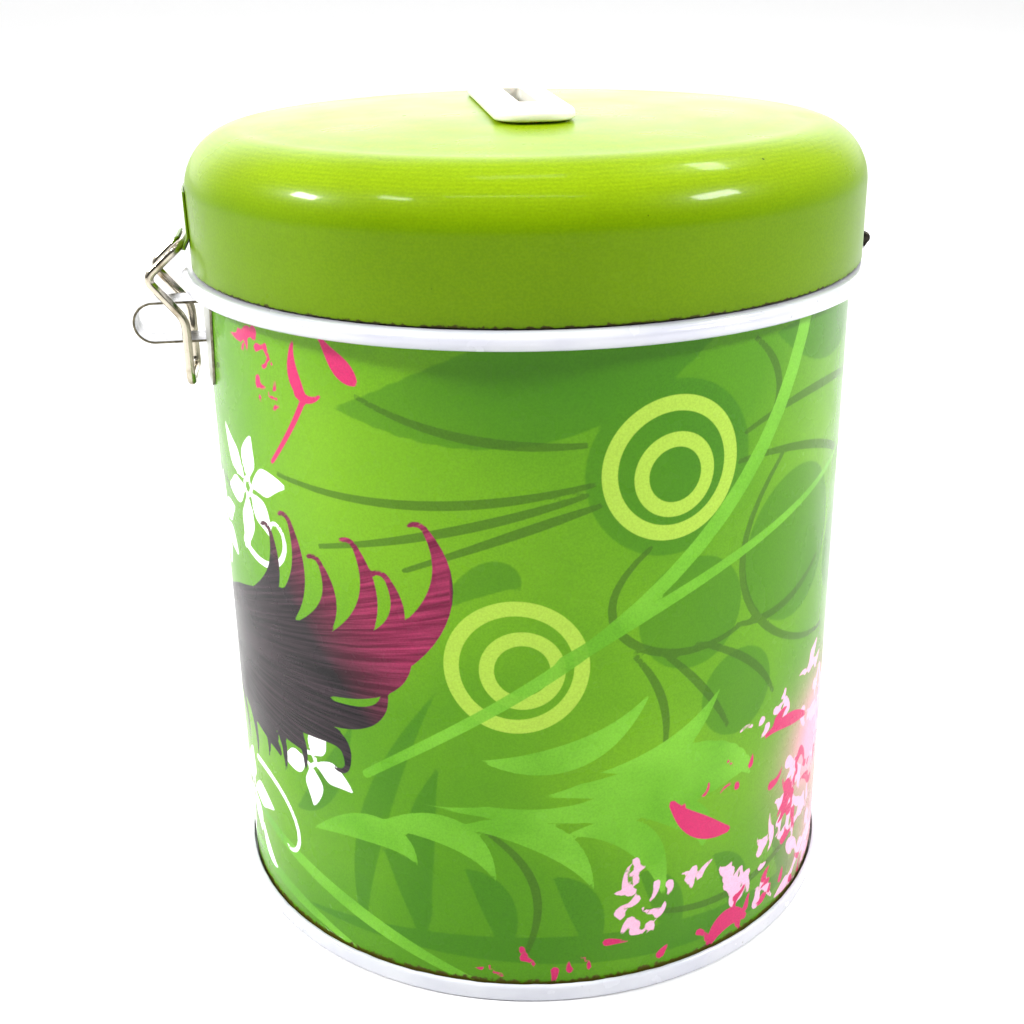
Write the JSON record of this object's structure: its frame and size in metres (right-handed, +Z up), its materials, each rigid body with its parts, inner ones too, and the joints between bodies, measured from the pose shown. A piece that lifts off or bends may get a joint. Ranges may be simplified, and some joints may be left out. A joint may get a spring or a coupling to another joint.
{
  "type": "tea caddy",
  "caption": "Round printed tin with a rolled top bead, a domed hinged lid with a slotted insert, and a wire hasp that closes over a strap staple.",
  "frame": {"origin": "on the tin's axis, in the plane that its seam ring stands on; the base panel's centre is 0.8 mm above it", "axes": "+Z up along the tin's axis, -X towards the hasp, +X towards the hinge, -Y towards the side that is seen from the front"},
  "size_m": [0.1161, 0.1064, 0.1281],
  "materials": {
    "printed_wall": "gloss lithographed print in greens, pinks and plum",
    "lid_lacquer": "gloss lime lacquer",
    "white_enamel": "gloss white enamel",
    "ivory_plastic": "moulded, soft gloss",
    "nickel": "bright nickel plate",
    "bright_tinplate": "bright tinplate",
    "dark_steel": "dark oiled steel"
  },
  "bodies": {
    "tin": {"body_wall": "printed_wall", "bottom_end": "white_enamel", "top_ring": "white_enamel", "hinge_body_leaf": "dark_steel", "hinge_pin": "dark_steel", "hinge_body_rivet_1": "dark_steel", "hinge_body_rivet_2": "dark_steel", "staple_strap": "nickel", "staple_plate": "bright_tinplate"},
    "lid": {"lid_shell": "lid_lacquer", "slot_bezel": "ivory_plastic", "hinge_lid_leaf": "dark_steel", "hinge_lid_rivet_1": "dark_steel", "hinge_lid_rivet_2": "dark_steel", "hasp_bracket": "lid_lacquer"},
    "hasp": {"hasp_wire": "nickel"}
  },
  "joints": [
    {"name": "lid_hinge", "type": "hinge", "parent": "tin", "child": "lid", "pos_m": [0.0539, 0, 0.1045], "axis": [0, 1, 0], "range_deg": [0, 180]},
    {"name": "hasp_swing", "type": "hinge", "parent": "lid", "child": "hasp", "pos_m": [-0.0527, 0, 0.1079], "axis": [0, 1, 0], "range_deg": [0, 125]}
  ]
}
